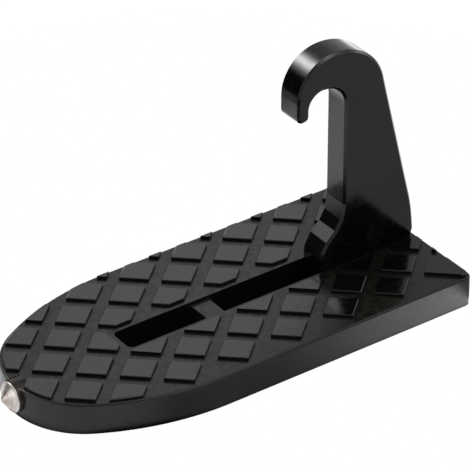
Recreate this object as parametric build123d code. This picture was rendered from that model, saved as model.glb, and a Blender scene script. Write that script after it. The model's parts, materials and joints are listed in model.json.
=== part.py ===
from build123d import *
import math
import os

# Folding step that hangs on a car's door striker: tread plate, hinged hook, hinge pin and hammer tip.
#
# All sizes are in millimetres. X runs along the plate, from the round nose at -X to the straight end
# at +X. Y runs across it and Z points up. The pieces are drawn about a point 77 mm behind the nose and
# then moved, so that the origin is on the underside, halfway between the point of the hammer tip and
# the straight end, on the centre line.

# Tread plate
plate_length = 155.2
plate_width = 71.2
plate_thickness = 11.2
nose_x = -77.0
nose_radius = 27.6
shoulder_radius = 90.0
end_corner_radius = 2.6
top_edge_radius = 0.7
bottom_edge_radius = 0.6

# Raised pads of the tread, a rhombic pattern with its diagonals along and across the plate
pad_height = 1.0
pad_step_along = 10.325
pad_step_across = 9.23
pad_share = 0.70
pad_edge_chamfer = 0.22
pad_outline_inset = 1.2
pad_origin_x = -61.5
pad_origin_y = 1.8
pad_row_lowest = -3
pad_row_highest = 4
pad_smallest_area = 1.2
corner_pad_reach = 0.36
slot_border = 2.0

# Slots in line, with the bridge that the folded hook rests on
hook_thickness = 10.0
hook_side_clearance = 0.3
slot_corner_radius = 2.2
folded_crown_clearance = 1.0
bridge_from_pin = 49.6
bridge_length = 7.0
bridge_drop = 1.1
toe_slot_clearance = 1.6

# Hinge
pin_diameter = 4.0
pin_length = 50.0
pin_from_end = 27.4
pin_bore_clearance = 0.06
pin_blind_depth = 12.0
pin_end_gap = 0.4
lug_radius = 4.6

# Hook profile: reaches along X are measured from the pin, heights from the underside of the plate
heel_clearance = 0.05
heel_back_reach = 26.6
heel_break = 0.9
heel_top_reach = 25.7
heel_top_z = 23.5
crown_z = 91.7
crown_slope_reach = 9.1
crown_back_radius = 20.0
crown_front_radius = 14.4
tip_outer_reach = -21.6
tip_inner_reach = -16.9
tip_drop = 21.7
tip_outer_radius = 2.3
tip_inner_radius = 1.9
crown_depth = 12.4
mouth_tip_radius = 5.6
mouth_shank_radius = 7.8
shank_front_reach = -2.7
heel_bend_radius = 60.0
shank_front_end_z = 33.7
toe_steps = [(-3.6, 28.2), (-5.7, 24.5), (-9.2, 21.1), (-11.3, 17.6), (-11.75, 15.9)]
toe_corner_radius = 0.9
toe_front_reach = -11.9
toe_bottom_z = 9.6
hook_edge_break = 0.8

# Hammer tip, on a low round boss of the nose
boss_diameter = 11.0
boss_face_x = -77.8
boss_edge = 0.3
collar_diameter = 10.4
collar_thickness = 0.5
collar_bevel = 0.25
cone_base_diameter = 9.7
cone_length = 3.0
cone_point_diameter = 1.2
stem_diameter = 6.0
stem_length = 12.0
stem_bore_gap = 1.0

# Derived positions
end_x = nose_x + plate_length
half_width = plate_width / 2
slot_width = hook_thickness + 2 * hook_side_clearance
pin_x = end_x - pin_from_end
pin_z = plate_thickness / 2
toe_slot_end = pin_x + lug_radius + toe_slot_clearance
bridge_end = pin_x - bridge_from_pin
bridge_start = bridge_end - bridge_length
bridge_top = plate_thickness - bridge_drop
# The folded hook's crown lies in the tip slot, as far from the pin as it stands above it when upright.
tip_slot_start = pin_x - (crown_z - pin_z) - folded_crown_clearance
pad_top = plate_thickness + pad_height
# The boss is as high as the pads.
tip_axis_z = pad_top - boss_diameter / 2
tip_end_z = crown_z - tip_drop
mouth_top_z = crown_z - crown_depth
tip_point_x = boss_face_x - collar_thickness - cone_length
origin_shift = -(tip_point_x + end_x) / 2


def plate_outline():
    """Plan of the plate: straight end with small corners, parallel sides, shoulders and a round nose."""
    nose_centre = nose_x + nose_radius
    shoulder_y = half_width - shoulder_radius
    shoulder_x = nose_centre + math.sqrt((shoulder_radius - nose_radius) ** 2 - shoulder_y ** 2)
    # The nose and the shoulder meet on the line through both centres.
    reach = nose_radius / (shoulder_radius - nose_radius)
    meet_x = nose_centre + (nose_centre - shoulder_x) * reach
    meet_y = -shoulder_y * reach
    middle = math.radians(90 + 0.5 * math.degrees(math.atan2(shoulder_x - meet_x, meet_y - shoulder_y)))
    shoulder_mid = (
        shoulder_x + shoulder_radius * math.cos(middle),
        shoulder_y + shoulder_radius * math.sin(middle),
    )
    end_flat = end_x - end_corner_radius
    side_flat = half_width - end_corner_radius
    corner = end_corner_radius * math.sqrt(0.5)
    with BuildLine() as line:
        Line((shoulder_x, half_width), (end_flat, half_width))
        ThreePointArc(
            (end_flat, half_width),
            (end_flat + corner, side_flat + corner),
            (end_x, side_flat),
        )
        Line((end_x, side_flat), (end_x, -side_flat))
        ThreePointArc(
            (end_x, -side_flat),
            (end_flat + corner, -side_flat - corner),
            (end_flat, -half_width),
        )
        Line((end_flat, -half_width), (shoulder_x, -half_width))
        ThreePointArc((shoulder_x, -half_width), (shoulder_mid[0], -shoulder_mid[1]), (meet_x, -meet_y))
        ThreePointArc((meet_x, -meet_y), (nose_x, 0), (meet_x, meet_y))
        ThreePointArc((meet_x, meet_y), shoulder_mid, (shoulder_x, half_width))
    return make_face(line.line)


def slot_plan(start, end, width, radius):
    """A slot seen from above, from one X to another, with rounded corners."""
    length = end - start
    return Pos((start + end) / 2, 0) * RectangleRounded(length, width, radius)


def pad_rhombus(step_sum, row):
    """One pad of the tread pattern, placed by its column sum and its row."""
    half_along = pad_share * pad_step_along
    half_across = pad_share * pad_step_across
    centre = (pad_origin_x + step_sum * pad_step_along, pad_origin_y + row * pad_step_across)
    # The last pad of the near row runs on into the corner of the plate.
    reach = corner_pad_reach if row == pad_row_lowest and centre[0] + half_along > end_x else 0.0
    run_x = reach * pad_step_along
    run_y = -reach * pad_step_across
    corners = [
        (centre[0] - half_along, centre[1]),
        (centre[0] + run_x, centre[1] - half_across + run_y),
        (centre[0] + half_along + run_x, centre[1] + run_y),
        (centre[0], centre[1] + half_across),
    ]
    return make_face(Polyline(*corners, close=True))


def pad_field():
    """The area that pads may cover: the plate's plan, drawn in, less the border along the slots."""
    field = offset(plate_outline(), -pad_outline_inset)
    border_width = slot_width + 2 * slot_border
    border_start = tip_slot_start - slot_border
    border_end = end_x + 1
    border = Pos((border_start + border_end) / 2, 0) * Rectangle(border_end - border_start, border_width)
    return field - border


def pad_faces():
    """Every pad of the pattern, cut by the field, without the slivers."""
    field = pad_field()
    faces = []
    for row in range(pad_row_lowest, pad_row_highest + 1):
        for step_sum in range(-3, 16):
            if (step_sum - row) % 2:
                continue
            cut = pad_rhombus(step_sum, row) & field
            if not cut:
                continue
            faces.extend(face for face in cut.faces() if face.area > pad_smallest_area)
    return faces


def raised_pad(face):
    """One pad above the plate, with its upper edge broken where that edge is long enough."""
    pad = Pos(0, 0, plate_thickness - 0.3) * extrude(face, pad_height + 0.3)
    rim = pad.faces().sort_by(Axis.Z)[-1].edges()
    if min(edge.length for edge in rim) < 1.5 or face.area < 12:
        return pad
    return chamfer(rim, pad_edge_chamfer)


def base_plate():
    """The tread plate with pads, slots, bridge, pin hole and the boss of the hammer tip."""
    body = extrude(plate_outline(), plate_thickness)
    body = fillet(body.faces().sort_by(Axis.Z)[-1].edges(), top_edge_radius)
    body = fillet(body.faces().sort_by(Axis.Z)[0].edges(), bottom_edge_radius)
    body += [raised_pad(face) for face in pad_faces()]
    body += tip_boss()
    tall = pad_top + 2
    tip_slot = extrude(slot_plan(tip_slot_start, bridge_start, slot_width, slot_corner_radius), tall)
    toe_slot = extrude(slot_plan(bridge_end, toe_slot_end, slot_width, slot_corner_radius), tall)
    recess_length = bridge_length + 2 * slot_corner_radius
    recess = Pos((bridge_start + bridge_end) / 2, 0, bridge_top) * Box(
        recess_length, slot_width, tall, align=(Align.CENTER, Align.CENTER, Align.MIN)
    )
    body -= [Pos(0, 0, -1) * tip_slot, Pos(0, 0, -1) * toe_slot, recess]
    body -= [pin_hole(), tip_bore()]
    return body


def pin_hole():
    """Cross hole drilled from the far long side, blind in the near cheek."""
    near_end = -(slot_width / 2 + pin_blind_depth)
    length = half_width + 1 - near_end
    return Pos(pin_x, near_end, pin_z) * Rot(-90, 0, 0) * Cylinder(
        pin_diameter / 2, length, align=(Align.CENTER, Align.CENTER, Align.MIN)
    )


def tip_boss():
    """Low round boss on the nose, with a broken edge."""
    length = nose_x + 4 - boss_face_x
    boss = Pos(boss_face_x, 0, tip_axis_z) * Rot(0, 90, 0) * Cylinder(
        boss_diameter / 2, length, align=(Align.CENTER, Align.CENTER, Align.MIN)
    )
    return chamfer(boss.faces().sort_by(Axis.X)[0].edges(), boss_edge)


def tip_bore():
    """Blind bore for the stem of the hammer tip."""
    return Pos(boss_face_x - 1, 0, tip_axis_z) * Rot(0, 90, 0) * Cylinder(
        stem_diameter / 2, stem_length + stem_bore_gap + 1, align=(Align.CENTER, Align.CENTER, Align.MIN)
    )


def hook_profile():
    """Side view of the hook: heel, slanted back, crown, curled tip, mouth, shank and stepped toe."""
    heel_z = plate_thickness + heel_clearance
    corners = [
        ((heel_back_reach - heel_break, heel_z), 0.0),
        ((heel_back_reach, heel_z + 3 * heel_break), 0.0),
        ((heel_top_reach, heel_top_z), heel_bend_radius),
        ((crown_slope_reach, crown_z), crown_back_radius),
        ((tip_outer_reach, crown_z), crown_front_radius),
        ((tip_outer_reach, tip_end_z), tip_outer_radius),
        ((tip_inner_reach, tip_end_z), tip_inner_radius),
        ((tip_inner_reach, mouth_top_z), mouth_tip_radius),
        ((shank_front_reach, mouth_top_z), mouth_shank_radius),
        ((shank_front_reach, shank_front_end_z), toe_corner_radius),
    ]
    corners += [(step, toe_corner_radius) for step in toe_steps]
    corners += [
        ((toe_front_reach, toe_bottom_z), 1.2),
        ((-lug_radius, pin_z), 0.0),
        ((0.0, pin_z), 0.0),
        ((lug_radius, pin_z), 0.0),
        ((lug_radius, heel_z), 0.0),
    ]
    return rounded_polygon(corners) + Pos(0, pin_z) * Circle(lug_radius)


def rounded_polygon(corners):
    """A closed face from points, each with the radius of its corner; zero keeps the corner sharp."""
    face = make_face(Polyline(*[point for point, radius in corners], close=True))
    for point, radius in corners:
        if radius > 0:
            vertex = face.vertices().sort_by_distance((point[0], point[1], 0))[0]
            face = fillet(vertex, radius)
    return face


def hook():
    """The hook plate with broken edges and the eye for the hinge pin."""
    plane = Plane(origin=(pin_x, hook_thickness / 2, 0), x_dir=(1, 0, 0), z_dir=(0, -1, 0))
    blank = extrude(plane * hook_profile(), hook_thickness)
    rims = blank.faces().sort_by(Axis.Y)[0].edges() + blank.faces().sort_by(Axis.Y)[-1].edges()
    blank = chamfer(rims, hook_edge_break)
    eye = Pos(pin_x, 0, pin_z) * Rot(90, 0, 0) * Cylinder(
        pin_diameter / 2 + pin_bore_clearance, hook_thickness + 2
    )
    return blank - eye


def hinge_pin():
    """Plain dowel pin with broken ends."""
    near_end = -(slot_width / 2 + pin_blind_depth) + pin_end_gap
    pin = Pos(pin_x, near_end, pin_z) * Rot(-90, 0, 0) * Cylinder(
        pin_diameter / 2, pin_length, align=(Align.CENTER, Align.CENTER, Align.MIN)
    )
    ends = pin.edges().filter_by(GeomType.CIRCLE)
    return chamfer(ends, 0.4)


def hammer_tip():
    """Stem, collar and blunt cone, turned in one piece about the nose axis."""
    stem_r = stem_diameter / 2
    collar_r = collar_diameter / 2
    profile = Polyline(
        (-stem_length, 0),
        (-stem_length, stem_r - 0.5),
        (-stem_length + 0.5, stem_r),
        (0, stem_r),
        (0, collar_r),
        (collar_thickness - collar_bevel, collar_r),
        (collar_thickness, collar_r - collar_bevel),
        (collar_thickness, cone_base_diameter / 2),
        (collar_thickness + cone_length, cone_point_diameter / 2),
        (collar_thickness + cone_length, 0),
        close=True,
    )
    turned = revolve(make_face(profile), Axis.X)
    return Pos(boss_face_x, 0, tip_axis_z) * Rot(0, 0, 180) * turned


def main():
    """Writes each piece as its own solid."""
    os.makedirs("parts", exist_ok=True)
    pieces = {
        "base_plate": base_plate(),
        "hook": hook(),
        "hinge_pin": hinge_pin(),
        "hammer_tip": hammer_tip(),
    }
    for name, shape in pieces.items():
        placed = Pos(origin_shift, 0, 0) * shape
        solids = placed.solids()
        print(name, len(solids), "solid", round(placed.volume, 1), "mm3")
        export_step(solids[0] if len(solids) == 1 else placed, f"parts/{name}.step")


main()
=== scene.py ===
# Looks of the folding door step: a black coated tread plate, its hooked arm, the hinge pin and the
# bright hammer tip, on a white studio sheet. Lengths are in metres, in the part's own frame.

import json
import logging
import math
from dataclasses import dataclass, replace
from enum import Enum
from typing import Any

import bmesh
import bpy
import numpy as np
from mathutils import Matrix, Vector

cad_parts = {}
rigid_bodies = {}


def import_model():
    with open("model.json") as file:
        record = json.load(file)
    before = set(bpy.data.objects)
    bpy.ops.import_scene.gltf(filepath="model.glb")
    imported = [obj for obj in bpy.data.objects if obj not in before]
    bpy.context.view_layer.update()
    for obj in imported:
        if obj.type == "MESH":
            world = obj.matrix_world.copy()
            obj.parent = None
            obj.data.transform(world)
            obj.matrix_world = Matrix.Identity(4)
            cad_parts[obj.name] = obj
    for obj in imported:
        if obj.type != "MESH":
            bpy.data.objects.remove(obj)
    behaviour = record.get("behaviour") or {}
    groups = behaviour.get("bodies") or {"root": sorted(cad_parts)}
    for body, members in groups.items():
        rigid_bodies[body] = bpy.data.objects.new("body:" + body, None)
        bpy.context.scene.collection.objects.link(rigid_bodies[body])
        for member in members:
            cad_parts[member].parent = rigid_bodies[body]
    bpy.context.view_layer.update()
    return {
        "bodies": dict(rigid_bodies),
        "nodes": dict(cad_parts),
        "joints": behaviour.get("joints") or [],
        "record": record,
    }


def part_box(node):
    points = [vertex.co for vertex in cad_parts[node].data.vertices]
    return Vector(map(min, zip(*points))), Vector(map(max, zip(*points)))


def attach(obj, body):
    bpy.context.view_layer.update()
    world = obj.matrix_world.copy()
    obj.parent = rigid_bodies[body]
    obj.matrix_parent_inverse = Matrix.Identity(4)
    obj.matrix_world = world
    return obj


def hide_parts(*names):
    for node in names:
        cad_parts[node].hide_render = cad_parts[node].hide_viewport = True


LOG = logging.getLogger("door_step")

RGB = tuple[float, float, float]
Triple = tuple[float, float, float]
Span = tuple[float, float]
WHITE: RGB = (1.0, 1.0, 1.0)


class Lay(Enum):
    """Which way the fine marks of a metal finish run, as the stretch of their noise along X, Y and Z."""

    TURNED = (4.0, 0.4, 0.4)
    GROUND = (1.0, 0.1, 1.0)


def link(tree: bpy.types.NodeTree, source: Any, target: Any) -> None:
    """Joins an output socket to an input socket."""
    tree.links.new(source, target)


def feed(tree: bpy.types.NodeTree, value: Any, target: Any) -> None:
    """Feeds an input from a socket, or sets it to a number, a vector or a colour.

    Args:
        tree: the node tree.
        value: the socket, number, vector or RGB colour.
        target: the input socket.
    """
    if isinstance(value, bpy.types.NodeSocket):
        link(tree, value, target)
    elif target.type == "RGBA":
        target.default_value = (*value, 1.0)
    else:
        target.default_value = value


def node(tree: bpy.types.NodeTree, kind: str, **settings: Any) -> bpy.types.Node:
    """Adds a node and sets its properties.

    Args:
        tree: the node tree that takes the node.
        kind: Blender's type name of the node.
        **settings: property names and their values.

    Returns:
        The new node.
    """
    made = tree.nodes.new(kind)
    for name, value in settings.items():
        setattr(made, name, value)
    return made


def math_node(tree: bpy.types.NodeTree, operation: str, first: Any, second: Any = None) -> Any:
    """Adds a math node fed by sockets or plain numbers.

    Args:
        tree: the node tree that takes the node.
        operation: the name of the operation.
        first: a socket or a number for the first input.
        second: a socket or a number for the second input, or None where there is none.

    Returns:
        The output socket.
    """
    made = node(tree, "ShaderNodeMath", operation=operation)
    feed(tree, first, made.inputs[0])
    if second is not None:
        feed(tree, second, made.inputs[1])
    return made.outputs[0]


def smooth_range(tree: bpy.types.NodeTree, value: Any, span: Span, to_span: Span = (0.0, 1.0)) -> Any:
    """Maps a value through a smooth step.

    Args:
        tree: the node tree.
        value: the socket that is read.
        span: the values where the step starts and ends.
        to_span: the results at its start and end.

    Returns:
        The output socket.
    """
    made = node(tree, "ShaderNodeMapRange", interpolation_type="SMOOTHSTEP")
    feed(tree, value, made.inputs["Value"])
    for name, number in zip(("From Min", "From Max", "To Min", "To Max"), (*span, *to_span)):
        made.inputs[name].default_value = number
    return made.outputs["Result"]


def blend(tree: bpy.types.NodeTree, share: Any, first: Any, second: Any, kind: str = "FLOAT") -> Any:
    """Blends two values or colours.

    Args:
        tree: the node tree.
        share: the share of the second, a socket or a number.
        first: what a share of 0 gives.
        second: what a share of 1 gives.
        kind: Blender's name of the data type, FLOAT or RGBA.

    Returns:
        The output socket.
    """
    made = node(tree, "ShaderNodeMix", data_type=kind)
    for name, value in (("Factor", share), ("A", first), ("B", second)):
        feed(tree, value, made.inputs[name])
    return made.outputs["Result"]


def noise(tree: bpy.types.NodeTree, place: Any, scale: Any, detail: float = 2.0) -> Any:
    """Fractal noise at a place, about 0.5 on average.

    Args:
        tree: the node tree.
        place: the socket with the place.
        scale: a socket or a number for its scale.
        detail: how many finer layers it has.

    Returns:
        The output socket.
    """
    made = node(tree, "ShaderNodeTexNoise", noise_dimensions="3D")
    for name, value in (("Vector", place), ("Scale", scale), ("Detail", detail)):
        feed(tree, value, made.inputs[name])
    return made.outputs[0]


def bumped(tree: bpy.types.NodeTree, height: Any, strength: float, depth: float) -> Any:
    """The normal of a surface with fine relief.

    Args:
        tree: the node tree.
        height: the socket with the height of the relief, 0 to 1.
        strength: how much of it shows.
        depth: its depth in metres.

    Returns:
        The output socket.
    """
    made = node(tree, "ShaderNodeBump")
    for name, value in (("Strength", strength), ("Distance", depth), ("Height", height)):
        feed(tree, value, made.inputs[name])
    return made.outputs["Normal"]


def axes(tree: bpy.types.NodeTree, vector: Any) -> Any:
    """The outputs X, Y and Z of a vector socket."""
    split = node(tree, "ShaderNodeSeparateXYZ")
    link(tree, vector, split.inputs[0])
    return split.outputs


def cosine_to(tree: bpy.types.NodeTree, direction: Any, way: Triple) -> Any:
    """Cosine of the angle between a direction socket and a fixed unit vector."""
    made = node(tree, "ShaderNodeVectorMath", operation="DOT_PRODUCT")
    link(tree, direction, made.inputs[0])
    made.inputs[1].default_value = way
    return made.outputs["Value"]


@dataclass(frozen=True)
class ShaderGroups:
    """The effects that several finishes share, as node groups with named inputs and outputs."""

    skin_name: str = "coat_skin"
    fine_ratio: float = 4.7
    broad_detail: float = 3.0
    speckle_span: Span = (0.58, 0.74)
    cloud_span: Span = (0.35, 0.68)
    marks_name: str = "metal_marks"
    marks_detail: float = 4.0
    stain_ratio: float = 0.22
    marks_span: Span = (0.12, 0.42)
    stain_span: Span = (0.40, 0.66)

    def _start(self, name: str, inputs: list[tuple[str, str, float]], outputs: list[str]) -> tuple:
        """Opens a new group with its sockets.

        Args:
            name: the group's name.
            inputs: name, socket type and default value of each input.
            outputs: name of each output, all of them values.

        Returns:
            The tree, its input node and its output node.
        """
        tree = bpy.data.node_groups.new(name, "ShaderNodeTree")
        for label, kind, value in inputs:
            socket = tree.interface.new_socket(label, in_out="INPUT", socket_type=kind)
            if kind == "NodeSocketFloat":
                socket.default_value = value
        for label in outputs:
            tree.interface.new_socket(label, in_out="OUTPUT", socket_type="NodeSocketFloat")
        return tree, node(tree, "NodeGroupInput"), node(tree, "NodeGroupOutput")

    def coat_skin(self) -> bpy.types.NodeTree:
        """Skin of a thin gloss coat over a casting.

        The height is a broad ripple plus a fine one: h = ripple * n(p s) + orange * n(fine_ratio p s),
        where n is fractal noise and s the scale. The speckle is the fine noise above a threshold, and
        the cloud is the broad noise in a range.

        Returns:
            The group, made once.
        """
        if self.skin_name in bpy.data.node_groups:
            return bpy.data.node_groups[self.skin_name]
        tree, start, end = self._start(
            self.skin_name,
            [("Vector", "NodeSocketVector", 0.0), ("Scale", "NodeSocketFloat", 300.0),
             ("Ripple", "NodeSocketFloat", 0.5), ("Orange Peel", "NodeSocketFloat", 0.5)],
            ["Height", "Speckle", "Cloud"],
        )
        place, scale = start.outputs["Vector"], start.outputs["Scale"]
        broad = noise(tree, place, scale, self.broad_detail)
        fine = noise(tree, place, math_node(tree, "MULTIPLY", scale, self.fine_ratio))
        low = math_node(tree, "MULTIPLY", broad, start.outputs["Ripple"])
        high = math_node(tree, "MULTIPLY", fine, start.outputs["Orange Peel"])
        link(tree, math_node(tree, "ADD", low, high), end.inputs["Height"])
        link(tree, smooth_range(tree, fine, self.speckle_span), end.inputs["Speckle"])
        link(tree, smooth_range(tree, broad, self.cloud_span), end.inputs["Cloud"])
        return tree

    def metal_marks(self) -> bpy.types.NodeTree:
        """Fine marks that run one way over bare metal.

        The value is noise stretched along the marks: m = n(p s) * n(stain_ratio p s), read at two
        scales and multiplied, so that strong marks stand among faint ones. The stain is the second one.

        Returns:
            The group, made once.
        """
        if self.marks_name in bpy.data.node_groups:
            return bpy.data.node_groups[self.marks_name]
        tree, start, end = self._start(
            self.marks_name,
            [("Vector", "NodeSocketVector", 0.0), ("Scale", "NodeSocketFloat", 900.0)],
            ["Marks", "Stain"],
        )
        place, scale = start.outputs["Vector"], start.outputs["Scale"]
        marks = noise(tree, place, scale, self.marks_detail)
        stain = noise(tree, place, math_node(tree, "MULTIPLY", scale, self.stain_ratio))
        both = math_node(tree, "MULTIPLY", marks, stain)
        link(tree, smooth_range(tree, both, self.marks_span), end.inputs["Marks"])
        link(tree, smooth_range(tree, stain, self.stain_span), end.inputs["Stain"])
        return tree


@dataclass(frozen=True)
class CoatFinish:
    """Black gloss coat over a casting: near black body, a clear surface reflection, faint orange peel.

    The recess tone covers what lies below recess_level, such as the floor of the tread between the pads,
    where the coat is a little duller and warmer. The stain lies within stain_reach of stain_middle.
    Below cast_level, faces that don't look along Y keep the duller skin of the casting.
    """

    name: str
    body: RGB = (0.0016, 0.0016, 0.0019)
    dust: RGB = (0.012, 0.0115, 0.010)
    speckle: float = 0.35
    roughness: float = 0.15
    cloud_effect: Span = (0.85, 1.2)
    index: float = 1.5
    shine: float = 0.5
    scale: float = 420.0
    ripple: float = 0.5
    orange_peel: float = 0.3
    bump: float = 0.035
    bump_depth: float = 0.0002
    recess_body: RGB = (0.0040, 0.0039, 0.0026)
    recess_roughness: float = 0.30
    recess_shine: float = 0.36
    recess_level: float = -1.0
    recess_blur: float = 0.0001
    stain: RGB = (0.017, 0.0095, 0.0055)
    stain_middle: Triple = (0.0, 0.0, 0.0)
    stain_reach: float = 0.0
    stain_edge: Span = (0.88, 1.1)
    stain_ragged: float = 0.15
    cast_level: float = -1.0
    cast_blur: float = 0.002
    cast_facing: Span = (0.4, 0.8)
    cast_roughness: float = 0.21
    cast_shine: float = 0.29

    def material(self, groups: ShaderGroups) -> bpy.types.Material:
        """Builds the node material.

        Args:
            groups: the shared node groups.

        Returns:
            The material.
        """
        made = bpy.data.materials.new(self.name)
        made.use_nodes = True
        tree = made.node_tree
        place = node(tree, "ShaderNodeTexCoord").outputs["Object"]
        height = axes(tree, place)["Z"]
        skin = node(tree, "ShaderNodeGroup", node_tree=groups.coat_skin())
        for name, value in (("Vector", place), ("Scale", self.scale), ("Ripple", self.ripple),
                            ("Orange Peel", self.orange_peel)):
            feed(tree, value, skin.inputs[name])
        cloud = skin.outputs["Cloud"]
        recess = self._below(tree, height, self.recess_level, self.recess_blur)
        cast = self._cast(tree, height)
        tone = blend(tree, recess, self.body, self.recess_body, "RGBA")
        specks = math_node(tree, "MULTIPLY", skin.outputs["Speckle"], self.speckle)
        tone = blend(tree, specks, tone, self.dust, "RGBA")
        rough = blend(tree, recess, self._clouded(tree, cloud, self.roughness),
                      self._clouded(tree, cloud, self.recess_roughness))
        shine = smooth_range(tree, recess, (0.0, 1.0), (self.shine, self.recess_shine))
        surface = tree.nodes["Principled BSDF"]
        for name, value in (
            ("Base Color", self._stained(tree, place, cloud, tone)),
            ("Roughness", blend(tree, cast, rough, self.cast_roughness)),
            ("Specular IOR Level", blend(tree, cast, shine, self.cast_shine)),
            ("IOR", self.index),
            ("Normal", bumped(tree, skin.outputs["Height"], self.bump, self.bump_depth)),
        ):
            feed(tree, value, surface.inputs[name])
        return made

    def _below(self, tree: bpy.types.NodeTree, height: Any, level: float, blur: float) -> Any:
        """The socket with 1 below a level and 0 above it, blurred by blur to each side."""
        return smooth_range(tree, height, (level - blur, level + blur), (1.0, 0.0))

    def _clouded(self, tree: bpy.types.NodeTree, cloud: Any, roughness: float) -> Any:
        """The socket with a roughness that varies with the cloud."""
        low, high = self.cloud_effect
        return smooth_range(tree, cloud, (0.0, 1.0), (roughness * low, roughness * high))

    def _cast(self, tree: bpy.types.NodeTree, height: Any) -> Any:
        """Where the skin of the casting shows: low down, on faces that don't look along Y.

        Args:
            tree: the node tree.
            height: the socket with the height on the object.

        Returns:
            The socket with 1 on those faces and 0 elsewhere.
        """
        normal = node(tree, "ShaderNodeNewGeometry").outputs["Normal"]
        across = math_node(tree, "ABSOLUTE", axes(tree, normal)["Y"])
        edge = smooth_range(tree, across, self.cast_facing, (1.0, 0.0))
        return math_node(tree, "MULTIPLY", edge, self._below(tree, height, self.cast_level, self.cast_blur))

    def _stained(self, tree: bpy.types.NodeTree, place: Any, cloud: Any, tone: Any) -> Any:
        """Mixes the stain into the tone near stain_middle, with a ragged edge.

        Args:
            tree: the node tree.
            place: the socket with the place on the object.
            cloud: the socket with the broad noise that makes the edge ragged.
            tone: the socket with the colour so far.

        Returns:
            The socket with the colour.
        """
        if self.stain_reach <= 0.0:
            return tone
        far = node(tree, "ShaderNodeVectorMath", operation="DISTANCE")
        link(tree, place, far.inputs[0])
        far.inputs[1].default_value = self.stain_middle
        uneven = math_node(tree, "MULTIPLY", cloud, self.stain_reach * self.stain_ragged)
        reach = math_node(tree, "ADD", far.outputs["Value"], uneven)
        inner, outer = self.stain_edge
        edge = (self.stain_reach * inner, self.stain_reach * outer)
        return blend(tree, smooth_range(tree, reach, edge, (1.0, 0.0)), tone, self.stain, "RGBA")


@dataclass(frozen=True)
class SteelFinish:
    """Bare steel with fine turned or ground marks and a faint warm stain."""

    name: str
    lay: Lay = Lay.TURNED
    bright: RGB = (0.61, 0.58, 0.54)
    stain: RGB = (0.42, 0.36, 0.32)
    roughness: float = 0.3
    marks_effect: Span = (0.8, 1.3)
    scale: float = 900.0
    bump: float = 0.12
    bump_depth: float = 0.0001

    def material(self, groups: ShaderGroups) -> bpy.types.Material:
        """Builds the node material.

        Args:
            groups: the shared node groups.

        Returns:
            The material.
        """
        made = bpy.data.materials.new(self.name)
        made.use_nodes = True
        tree = made.node_tree
        stretch = node(tree, "ShaderNodeMapping")
        stretch.inputs["Scale"].default_value = self.lay.value
        link(tree, node(tree, "ShaderNodeTexCoord").outputs["Object"], stretch.inputs["Vector"])
        group = node(tree, "ShaderNodeGroup", node_tree=groups.metal_marks())
        link(tree, stretch.outputs["Vector"], group.inputs["Vector"])
        group.inputs["Scale"].default_value = self.scale
        marks = group.outputs["Marks"]
        low, high = self.marks_effect
        surface = tree.nodes["Principled BSDF"]
        for name, value in (
            ("Base Color", blend(tree, group.outputs["Stain"], self.bright, self.stain, "RGBA")),
            ("Metallic", 1.0),
            ("Roughness", smooth_range(tree, marks, (0.0, 1.0), (self.roughness * low, self.roughness * high))),
            ("Normal", bumped(tree, marks, self.bump, self.bump_depth)),
        ):
            feed(tree, value, surface.inputs[name])
        return made


def mesh_piece(name: str, points: np.ndarray, faces: np.ndarray, material: bpy.types.Material) -> bpy.types.Object:
    """Makes an object from arrays of points and four-sided faces.

    Args:
        name: the object's name.
        points: an (n, 3) array of places in metres.
        faces: an (m, 4) array of point numbers, each face seen anticlockwise from outside.
        material: its finish.

    Returns:
        The object, at the origin, with smooth faces.
    """
    mesh = bpy.data.meshes.new(name)
    mesh.vertices.add(len(points))
    mesh.vertices.foreach_set("co", points.astype(np.float32).ravel())
    mesh.loops.add(faces.size)
    mesh.loops.foreach_set("vertex_index", faces.astype(np.int32).ravel())
    mesh.polygons.add(len(faces))
    mesh.polygons.foreach_set("loop_start", np.arange(0, faces.size, 4, dtype=np.int32))
    mesh.update(calc_edges=True)
    mesh.validate()
    mesh.materials.append(material)
    mesh.polygons.foreach_set("use_smooth", np.ones(len(mesh.polygons), bool))
    return placed(name, mesh)


def placed(name: str, data: Any) -> bpy.types.Object:
    """Makes an object of the data and puts it in the scene, at the origin."""
    made = bpy.data.objects.new(name, data)
    bpy.context.scene.collection.objects.link(made)
    return made


def grid_faces(rows: int, columns: int) -> np.ndarray:
    """Four-sided faces of a grid of points whose rows close on themselves.

    Args:
        rows: number of rows of points.
        columns: number of points in each closed row.

    Returns:
        An (m, 4) array of point numbers.
    """
    row, column = np.meshgrid(np.arange(rows - 1), np.arange(columns), indexing="ij")
    across = (column + 1) % columns
    first = row * columns + column
    second = row * columns + across
    third = (row + 1) * columns + across
    fourth = (row + 1) * columns + column
    return np.stack([first, second, third, fourth], axis=-1).reshape(-1, 4)


def close_poles(piece: bpy.types.Object) -> None:
    """Merges the points that fall together at a turned shape's poles and turns its faces outwards."""
    work = bmesh.new()
    work.from_mesh(piece.data)
    bmesh.ops.remove_doubles(work, verts=work.verts, dist=1e-6)
    bmesh.ops.recalc_face_normals(work, faces=work.faces)
    work.to_mesh(piece.data)
    work.free()


@dataclass
class DressedSolid:
    """A piece whose solid is right as it is, and only takes a finish."""

    solid: str
    finish: CoatFinish | SteelFinish

    def dress(self, frame: dict[str, Any], groups: ShaderGroups) -> None:
        """Gives the solid its finish.

        Args:
            groups: the shared node groups.
        """
        frame["nodes"][self.solid].material_slots[0].material = self.finish.material(groups)
        LOG.info("%s dressed", self.solid)


@dataclass
class TreadPlate(DressedSolid):
    """The cast tread plate: a coat with a duller tread floor, and a brown stain round the tip's seat."""

    solid: str = "base_plate"
    finish: CoatFinish = CoatFinish("plate_coat_black", recess_level=0.0116, stain_reach=0.0062)

    def stain_round(self, seat: Triple) -> None:
        """Sets the middle of the stain."""
        self.finish = replace(self.finish, stain_middle=seat)


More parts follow.
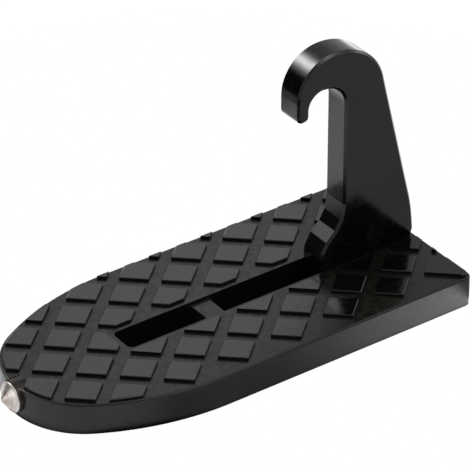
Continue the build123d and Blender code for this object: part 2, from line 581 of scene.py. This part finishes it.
@dataclass
class HookArm(DressedSolid):
    """The cast hook: the coat, duller on the faces of its toe."""

    solid: str = "hook"
    finish: CoatFinish = CoatFinish("hook_coat_black", cast_level=0.034)


@dataclass
class HingePin(DressedSolid):
    """The ground dowel across the plate."""

    solid: str = "hinge_pin"
    finish: SteelFinish = SteelFinish(
        "pin_ground_steel", Lay.GROUND, bright=(0.5, 0.5, 0.5), stain=(0.4, 0.4, 0.4), roughness=0.25)


@dataclass
class HammerTip:
    """The turned tip in the nose: a thin collar with a rolled edge and a blunt cone with fine tool rings.

    Its axis, reach and collar follow the box of its solid, and what is finer is set here.
    """

    solid: str = "hammer_tip"
    body: str = "plate"
    slot: str = "tip_steel"
    finish: SteelFinish = SteelFinish("tip_turned_steel", Lay.TURNED)
    stem_length: float = 0.012
    stem_radius: float = 0.003
    stem_break: float = 0.0005
    collar_thickness: float = 0.0005
    collar_roll: float = 0.00025
    roll_shares: Span = (0.25, 0.3)
    cone_base_radius: float = 0.00485
    cone_length: float = 0.003
    point_radius: float = 0.0006
    point_roll: float = 0.00012
    ring_depth: float = 0.00003
    ring_pitch: float = 0.00045
    ring_end: float = 2.0
    around: int = 96
    along: int = 240

    def seat(self) -> Triple:
        """Middle of the seat, where the collar lies on the plate."""
        low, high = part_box(self.solid)
        return (low[0] + self.collar_thickness + self.cone_length, 0.0, (low[2] + high[2]) / 2)

    def profile(self, collar_radius: float) -> np.ndarray:
        """Distance in front of the seat and radius at the corners of the turned outline.

        Args:
            collar_radius: radius of the collar.

        Returns:
            An (n, 2) array from the stem's far end to the point.
        """
        roll = self.collar_roll
        back, shoulder = (share * roll for share in self.roll_shares)
        front = self.collar_thickness
        reach = front + self.cone_length
        return np.array([
            (-self.stem_length, 0.0), (-self.stem_length, self.stem_radius - self.stem_break),
            (self.stem_break - self.stem_length, self.stem_radius), (0.0, self.stem_radius),
            (0.0, collar_radius - back), (back, collar_radius), (front - roll, collar_radius),
            (front - shoulder, collar_radius - shoulder), (front, collar_radius - roll),
            (front, self.cone_base_radius), (reach - self.point_roll, self.point_radius + self.point_roll),
            (reach, self.point_radius - self.point_roll), (reach, 0.0),
        ])

    def surface(self) -> tuple[np.ndarray, np.ndarray]:
        """Turns the outline about the tip's axis.

        The outline is sampled evenly by length s. On the cone the radius is less the rings:
        r(s) = R(s) - depth * (0.5 - 0.5 cos(2 pi s / pitch)). A point is
        (seat - d(s), r(s) sin a, axis + r(s) cos a), with a from 0 to a full turn.

        Returns:
            The points and the faces.
        """
        low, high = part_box(self.solid)
        seat, _, axis = self.seat()
        line = self.profile((high[2] - low[2]) / 2)
        runs = np.hypot(*np.diff(line, axis=0).T)
        along = np.concatenate([[0.0], np.cumsum(runs)])
        cuts = np.unique(np.concatenate([along, np.linspace(0.0, along[-1], self.along)]))
        distance = np.interp(cuts, along, line[:, 0])
        radius = np.interp(cuts, along, line[:, 1])
        cone = (distance > self.collar_thickness) & (radius > self.ring_end * self.point_radius)
        rings = self.ring_depth * (0.5 - 0.5 * np.cos(2.0 * math.pi * cuts / self.ring_pitch))
        radius = np.where(cone, radius - rings, radius)
        angle = np.linspace(0.0, 2.0 * math.pi, self.around, endpoint=False)
        x = np.repeat((seat - distance)[:, None], self.around, axis=1)
        y = radius[:, None] * np.sin(angle)[None, :]
        z = axis + radius[:, None] * np.cos(angle)[None, :]
        return np.stack([x, y, z], axis=-1).reshape(-1, 3), grid_faces(len(cuts), self.around)

    def build(self, groups: ShaderGroups) -> bpy.types.Object:
        """Makes the tip and lets it stand for its solid.

        Args:
            groups: the shared node groups.

        Returns:
            The tip.
        """
        points, faces = self.surface()
        made = mesh_piece("hammer_tip_turned", points, faces, self.finish.material(groups))
        close_poles(made)
        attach(made, self.body)
        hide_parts(self.solid)
        LOG.info("%s: %d faces", made.name, len(made.data.polygons))
        return made


@dataclass
class StudioSheet:
    """The white sheet under the step, a round disc that ends outside the picture.

    It glows, so that it is plain white to the camera. In the gloss of the step it shows a painted
    reflection glow in the room's tones instead. In front of the step they are far_front, fading to
    left_front and right_front. Close to it they are nose_front beside the nose and near_front behind it,
    and rise toward the straight end up to rise_end as a painted pool of light. Behind it a brighter
    painted glow stands in for a pale card and ends at card_end. The sheet lies a hair under the step,
    gives no light from under the plate as a painted shadow, and is clear when seen from below.
    """

    radius: float = 0.215
    level: float = -0.0001
    hub: float = 1e-4
    rings: int = 24
    around: int = 96
    seen: float = 1.0
    # Tones of the painted reflection glow by place, with a painted pool of light (rise) and a painted card glow
    # behind.
    far_front: float = 0.85
    left_front: float = 0.08
    right_front: float = 0.49
    left_span: Span = (-0.066, -0.052)
    right_span: Span = (0.02, 0.07)
    near_span: Span = (-0.060, -0.048)
    nose_front: float = 1.05
    near_front: float = 0.45
    nose_span: Span = (-0.058, -0.032)
    rise: float = 3.1
    rise_reach: float = 0.078
    rise_power: float = 1.7
    rise_end: Span = (0.0795, 0.084)
    card_span: Span = (0.0, 0.03)
    painted_card_glow: float = 1.1
    card_end: Span = (0.098, 0.108)
    past_card: float = 0.35
    grain_scale: float = 60.0
    grain_span: Span = (0.3, 0.7)
    grain_effect: Span = (0.94, 1.06)
    room_tint: RGB = (0.99, 0.99, 1.03)
    # Outline of the painted shadow under the plate.
    plate: str = "base_plate"
    nose_length: float = 0.047
    side_blur: Span = (0.96, 1.10)
    end_blur: Span = (-0.0005, 0.001)

    def build(self) -> bpy.types.Object:
        """Makes the sheet: point (r cos a, r sin a, level), with r and a on an even grid.

        Returns:
            The sheet.
        """
        reach = np.linspace(self.hub, self.radius, self.rings)
        angle = np.linspace(0.0, 2.0 * math.pi, self.around, endpoint=False)
        x = reach[:, None] * np.cos(angle)[None, :]
        y = reach[:, None] * np.sin(angle)[None, :]
        points = np.stack([x, y, np.full_like(x, self.level)], axis=-1).reshape(-1, 3)
        faces = grid_faces(self.rings, self.around)[:, ::-1]
        made = mesh_piece("studio_sheet", points, faces, self._material())
        LOG.info("%s made", made.name)
        return made

    def _material(self) -> bpy.types.Material:
        """Builds the sheet's glow: one tone for the camera, and for what mirrors it a painted reflection
        glow in the room's tones.

        Returns:
            The material.
        """
        made = bpy.data.materials.new("studio_sheet_painted_glow")
        made.use_nodes = True
        tree = made.node_tree
        tree.nodes.clear()
        place = node(tree, "ShaderNodeTexCoord").outputs["Object"]
        across = axes(tree, place)
        x, y = across["X"], across["Y"]
        # Painted reflection glow: the tones that the step's gloss mirrors, by place on the sheet.
        painted_card_glow = smooth_range(tree, y, self.card_end, (self.painted_card_glow, self.past_card))
        room = blend(tree, smooth_range(tree, y, self.card_span), self._painted_front_glow(tree, x, y), painted_card_glow)
        grain = smooth_range(tree, noise(tree, place, self.grain_scale), self.grain_span, self.grain_effect)
        room = math_node(tree, "MULTIPLY", room, grain)
        # Painted shadow: no glow from under the plate.
        room = math_node(tree, "MULTIPLY", room, self._painted_shadow_mask(tree, x, y))
        to_camera = node(tree, "ShaderNodeLightPath").outputs["Is Camera Ray"]
        shine = node(tree, "ShaderNodeEmission")
        link(tree, blend(tree, to_camera, self.room_tint, WHITE, "RGBA"), shine.inputs["Color"])
        link(tree, blend(tree, to_camera, room, self.seen), shine.inputs["Strength"])
        one_sided = node(tree, "ShaderNodeMixShader")
        link(tree, node(tree, "ShaderNodeNewGeometry").outputs["Backfacing"], one_sided.inputs["Fac"])
        link(tree, shine.outputs[0], one_sided.inputs[1])
        link(tree, node(tree, "ShaderNodeBsdfTransparent").outputs[0], one_sided.inputs[2])
        link(tree, one_sided.outputs[0], node(tree, "ShaderNodeOutputMaterial").inputs["Surface"])
        return made

    def _painted_front_glow(self, tree: bpy.types.NodeTree, x: Any, y: Any) -> Any:
        """The painted reflection glow in front of the step, in the room's tones.

        The rise toward the straight end, a painted pool of light, is rise * (x / rise_reach) ^ rise_power,
        for x above 0.

        Args:
            tree: the node tree.
            x: the socket with the place along the plate.
            y: the socket with the place across it.

        Returns:
            The socket with the tone.
        """
        left = smooth_range(tree, x, self.left_span, (self.left_front, self.far_front))
        right = smooth_range(tree, x, self.right_span, (0.0, self.far_front - self.right_front))
        far = math_node(tree, "SUBTRACT", left, right)
        near = smooth_range(tree, x, self.nose_span, (self.nose_front, self.near_front))
        is_near = smooth_range(tree, y, self.near_span)
        share = math_node(tree, "MAXIMUM", math_node(tree, "DIVIDE", x, self.rise_reach), 0.0)
        rise = math_node(tree, "MULTIPLY", math_node(tree, "POWER", share, self.rise_power), self.rise)
        rise = math_node(tree, "MULTIPLY", rise, smooth_range(tree, x, self.rise_end, (1.0, 0.0)))
        rise = math_node(tree, "MULTIPLY", rise, is_near)
        return math_node(tree, "ADD", blend(tree, is_near, far, near), rise)

    def _painted_shadow_mask(self, tree: bpy.types.NodeTree, x: Any, y: Any) -> Any:
        """The painted shadow under the plate: where the sheet isn't covered by the plate, so that no
        light comes from under it.

        The plate's outline is taken as a half ellipse at the nose and straight sides behind it: with
        u = (nose start - x) / nose length, not below 0, and v = y / half width, u u + v v < 1 is covered.

        Args:
            tree: the node tree.
            x: the socket with the place along the plate.
            y: the socket with the place across it.

        Returns:
            The socket with 0 under the plate and 1 beside it.
        """
        low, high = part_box(self.plate)
        u = math_node(tree, "DIVIDE", math_node(tree, "SUBTRACT", low[0] + self.nose_length, x), self.nose_length)
        u = math_node(tree, "MAXIMUM", u, 0.0)
        v = math_node(tree, "DIVIDE", y, high[1])
        reach = math_node(tree, "ADD", math_node(tree, "MULTIPLY", u, u), math_node(tree, "MULTIPLY", v, v))
        before, after = self.end_blur
        past_end = smooth_range(tree, x, (high[0] + before, high[0] + after))
        return math_node(tree, "MAXIMUM", smooth_range(tree, reach, self.side_blur), past_end)


@dataclass(frozen=True)
class SkyPatch:
    """A direction in the surroundings. The bearing is 0 along +X and 90 along +Y. Angles are in degrees."""

    bearing: float
    height: float

    def cosine(self, tree: bpy.types.NodeTree, direction: Any) -> Any:
        """The socket with the cosine of the angle between a direction socket and the patch's middle."""
        a, e = math.radians(self.bearing), math.radians(self.height)
        return cosine_to(tree, direction, (math.cos(e) * math.cos(a), math.cos(e) * math.sin(a), math.sin(e)))


@dataclass(frozen=True)
class SkyLobe(SkyPatch):
    """A soft glow of the surroundings round one direction.

    Its light at the angle t from the middle is radiance * exp(2 (cos t - 1) / spread^2), close to
    radiance * exp(-(t / spread)^2).
    """

    spread: float
    radiance: float

    def add(self, tree: bpy.types.NodeTree, direction: Any) -> Any:
        """The socket with the glow's light in the direction that a socket gives."""
        sharpness = 2.0 / math.radians(self.spread) ** 2
        power = math_node(tree, "SUBTRACT", self.cosine(tree, direction), 1.0)
        power = math_node(tree, "MULTIPLY", power, sharpness)
        return math_node(tree, "MULTIPLY", math_node(tree, "EXPONENT", power), self.radiance)


@dataclass(frozen=True)
class DarkFlag(SkyPatch):
    """A black flag in the surroundings: nothing shines within inner degrees, all of it beyond outer."""

    inner: float
    outer: float

    def add(self, tree: bpy.types.NodeTree, direction: Any) -> Any:
        """The socket with the share of light that passes the flag, in the direction that a socket gives."""
        edge = (math.cos(math.radians(self.outer)), math.cos(math.radians(self.inner)))
        return smooth_range(tree, self.cosine(tree, direction), edge, (1.0, 0.0))


@dataclass
class StudioLight:
    """The soft light: a grey room with soft glows and black flags, and a light panel over the tread."""

    room: float = 0.45
    seen: float = 1.05
    lobes: tuple[SkyLobe, ...] = (
        SkyLobe(113.0, 41.0, 11.0, 14.5),
        SkyLobe(45.0, -9.0, 9.0, 2.0),
        SkyLobe(45.0, 14.0, 14.0, 0.3),
        SkyLobe(-60.0, 55.0, 20.0, 2.6),
        SkyLobe(-12.0, 14.0, 13.0, 2.2),
        SkyLobe(178.0, 12.0, 22.0, 1.3),
    )
    flags: tuple[DarkFlag, ...] = (
        DarkFlag(135.0, 3.0, 15.5, 24.0),
        DarkFlag(-54.0, 31.0, 9.0, 17.0),
    )
    panel_middle: Triple = (0.155, 0.250, 0.2)
    panel_size: Span = (0.26, 0.13)
    panel_turn: float = 35.0
    panel_radiance: float = 0.64

    def build(self) -> None:
        """Makes the surroundings and the light panel."""
        self._surroundings()
        self._panel()
        LOG.info("studio lit")

    def _surroundings(self) -> None:
        """World light by direction: white to the camera, else the room, its glows and the flags."""
        world = bpy.data.worlds.new("studio_surroundings")
        world.use_nodes = True
        bpy.context.scene.world = world
        tree = world.node_tree
        tree.nodes.clear()
        way = node(tree, "ShaderNodeTexCoord").outputs["Generated"]
        total: Any = self.room
        for lobe in self.lobes:
            total = math_node(tree, "ADD", total, lobe.add(tree, way))
        for flag in self.flags:
            total = math_node(tree, "MULTIPLY", total, flag.add(tree, way))
        to_camera = node(tree, "ShaderNodeLightPath").outputs["Is Camera Ray"]
        shine = node(tree, "ShaderNodeBackground")
        feed(tree, WHITE, shine.inputs["Color"])
        link(tree, blend(tree, to_camera, total, self.seen), shine.inputs["Strength"])
        link(tree, shine.outputs[0], node(tree, "ShaderNodeOutputWorld").inputs["Surface"])

    def _panel(self) -> bpy.types.Object:
        """The oval light panel, level and facing down, where the tops of the pads mirror it.

        A panel of area A and power P shines with radiance P / (pi A), so P is radiance * pi * A, and the
        area of an oval is pi / 4 * length * width.

        Returns:
            The light.
        """
        data = bpy.data.lights.new("tread_panel", "AREA")
        data.shape = "ELLIPSE"
        data.size, data.size_y = self.panel_size
        area = math.pi / 4 * self.panel_size[0] * self.panel_size[1]
        data.energy = self.panel_radiance * math.pi * area
        made = placed("tread_panel", data)
        made.location = self.panel_middle
        made.rotation_euler = (0.0, 0.0, math.radians(self.panel_turn))
        made.visible_camera = False
        return made


@dataclass
class PhotoCamera:
    """The camera that the photograph's edges give."""

    place: Triple = (-0.55296, -0.78462, 0.65464)
    toward: Triple = (0.4905, 0.6837, -0.5403)
    lens: float = 275.0
    sensor: float = 36.0
    shift: Span = (-0.00106, -0.00085)
    clip: Span = (0.01, 20.0)

    def build(self) -> bpy.types.Object:
        """Makes the camera and gives it to the scene.

        Returns:
            The camera.
        """
        data = bpy.data.cameras.new("photo_camera")
        data.lens = self.lens
        data.sensor_width = self.sensor
        data.shift_x, data.shift_y = self.shift
        data.clip_start, data.clip_end = self.clip
        made = placed("photo_camera", data)
        made.location = self.place
        made.rotation_euler = Vector(self.toward).to_track_quat("-Z", "Y").to_euler()
        bpy.context.scene.camera = made
        return made


def main() -> None:
    """Builds the looks of the step in order."""
    logging.basicConfig(level=logging.INFO, format="%(name)s: %(message)s")
    for left in list(bpy.data.objects):
        bpy.data.objects.remove(left)
    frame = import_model()
    groups = ShaderGroups()
    tip = HammerTip()
    plate = TreadPlate()
    plate.stain_round(tip.seat())
    plate.dress(frame, groups)
    HookArm().dress(frame, groups)
    HingePin().dress(frame, groups)
    tip.build(groups)
    StudioSheet().build()
    StudioLight().build()
    PhotoCamera().build()
    settings = bpy.context.scene.view_settings
    settings.view_transform = "Standard"
    settings.look = "None"
    bpy.context.view_layer.update()


if __name__ == "__main__":
    main()
